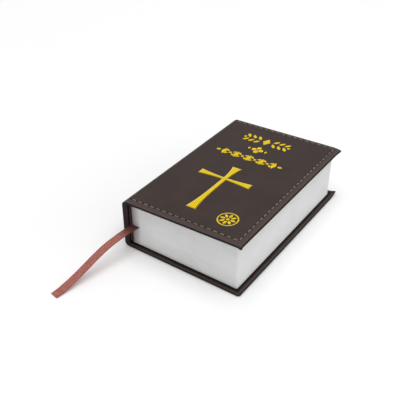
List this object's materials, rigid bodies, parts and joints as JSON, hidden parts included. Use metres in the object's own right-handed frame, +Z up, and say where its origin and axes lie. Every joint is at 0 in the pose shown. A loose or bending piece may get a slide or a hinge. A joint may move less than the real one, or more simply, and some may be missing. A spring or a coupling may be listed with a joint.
{
  "type": "prayer book",
  "caption": "Pocket prayer book with a limp brown leather cover, stitched edges, a gold cross and ornament, white leaves and a ribbon marker.",
  "frame": {"origin": "under the middle of the closed book, on the outer face of the back cover that it lies on", "axes": "+X from the spine to the fore-edge, +Y from the tail to the head, +Z up through the front cover"},
  "size_m": [0.086, 0.1767, 0.0348],
  "materials": {
    "cover_leather": "fine-grained dark brown, semi-matt",
    "spine_leather": "fine-grained dark brown, semi-matt",
    "board": "plain grey-brown board",
    "kraft_paper": "plain",
    "leaf_paper": "thin white printing paper, matt",
    "endpaper": "stout white paper, matt",
    "mull_cloth": "open weave cotton",
    "linen": "waxed linen",
    "stitching_thread": "twisted polyester thread",
    "band_silk": "dark red silk",
    "ribbon_satin": "satin weave with a low sheen",
    "gold_foil": "hot-stamped yellow gold foil"
  },
  "bodies": {
    "text_block": {"spine_leather": "spine_leather", "spine_strip": "board", "spine_lining": "kraft_paper", "spine_mull": "mull_cloth", "spine_stitching": "stitching_thread", "head_band": "band_silk", "tail_band": "band_silk", "sewing_cords": "linen", "kettle_stitches": "linen", "section_01": "leaf_paper", "section_02": "leaf_paper", "section_03": "leaf_paper", "section_04": "leaf_paper", "section_05": "leaf_paper", "section_06": "leaf_paper", "section_07": "leaf_paper", "section_08": "leaf_paper", "section_09": "leaf_paper", "section_10": "leaf_paper", "section_11": "leaf_paper", "section_12": "leaf_paper", "section_13": "leaf_paper", "section_14": "leaf_paper", "section_15": "leaf_paper", "section_16": "leaf_paper", "section_17": "leaf_paper", "section_18": "leaf_paper", "front_leaf_stubs": "leaf_paper", "back_leaf_stubs": "leaf_paper", "ribbon_inner": "ribbon_satin", "ribbon_marker": "ribbon_satin"},
    "front_cover": {"front_cover_leather": "cover_leather", "front_board": "board", "front_board_lining": "kraft_paper", "front_pastedown": "endpaper", "front_stitching": "stitching_thread", "foil_cross": "gold_foil", "foil_row_upper": "gold_foil", "foil_row_middle": "gold_foil", "foil_row_lower": "gold_foil", "foil_rosette": "gold_foil"},
    "back_cover": {"back_cover_leather": "cover_leather", "back_board": "board", "back_board_lining": "kraft_paper", "back_pastedown": "endpaper", "back_stitching": "stitching_thread"},
    "front_flyleaf": {"front_flyleaf": "endpaper"},
    "front_leaf_1": {"front_leaf_1": "leaf_paper"},
    "front_leaf_2": {"front_leaf_2": "leaf_paper"},
    "front_leaf_3": {"front_leaf_3": "leaf_paper"},
    "front_leaf_4": {"front_leaf_4": "leaf_paper"},
    "back_flyleaf": {"back_flyleaf": "endpaper"},
    "back_leaf_1": {"back_leaf_1": "leaf_paper"}
  },
  "joints": [
    {"name": "front_cover_open", "type": "hinge", "parent": "text_block", "child": "front_cover", "pos_m": [-0.0387, 0, 0.0307], "axis": [0, -1, 0], "range_deg": [0, 178]},
    {"name": "back_cover_open", "type": "hinge", "parent": "text_block", "child": "back_cover", "pos_m": [-0.0387, 0, 0.0013], "axis": [0, 1, 0], "range_deg": [0, 178]},
    {"name": "front_flyleaf_turn", "type": "hinge", "parent": "text_block", "child": "front_flyleaf", "pos_m": [-0.03099, 0, 0.03064], "axis": [0, -1, 0], "range_deg": [0, 160.2]},
    {"name": "front_leaf_1_turn", "type": "hinge", "parent": "text_block", "child": "front_leaf_1", "pos_m": [-0.02949, 0, 0.03047], "axis": [0, -1, 0], "range_deg": [0, 133.5]},
    {"name": "front_leaf_2_turn", "type": "hinge", "parent": "text_block", "child": "front_leaf_2", "pos_m": [-0.02878, 0, 0.03028], "axis": [0, -1, 0], "range_deg": [0, 106.8]},
    {"name": "front_leaf_3_turn", "type": "hinge", "parent": "text_block", "child": "front_leaf_3", "pos_m": [-0.02827, 0, 0.03008], "axis": [0, -1, 0], "range_deg": [0, 80.1]},
    {"name": "front_leaf_4_turn", "type": "hinge", "parent": "text_block", "child": "front_leaf_4", "pos_m": [-0.02786, 0, 0.02987], "axis": [0, -1, 0], "range_deg": [0, 53.4]},
    {"name": "back_flyleaf_turn", "type": "hinge", "parent": "text_block", "child": "back_flyleaf", "pos_m": [-0.031, 0, 0.00164], "axis": [0, 1, 0], "range_deg": [0, 160.2]},
    {"name": "back_leaf_1_turn", "type": "hinge", "parent": "text_block", "child": "back_leaf_1", "pos_m": [-0.0295, 0, 0.00186], "axis": [0, 1, 0], "range_deg": [0, 106.8]}
  ],
  "couplings": [
    {"joint": "front_flyleaf_turn", "follows": "front_cover_open", "ratio": 0.9},
    {"joint": "front_leaf_1_turn", "follows": "front_cover_open", "ratio": 0.75},
    {"joint": "front_leaf_2_turn", "follows": "front_cover_open", "ratio": 0.6},
    {"joint": "front_leaf_3_turn", "follows": "front_cover_open", "ratio": 0.45},
    {"joint": "front_leaf_4_turn", "follows": "front_cover_open", "ratio": 0.3},
    {"joint": "back_flyleaf_turn", "follows": "back_cover_open", "ratio": 0.9},
    {"joint": "back_leaf_1_turn", "follows": "back_cover_open", "ratio": 0.6}
  ]
}
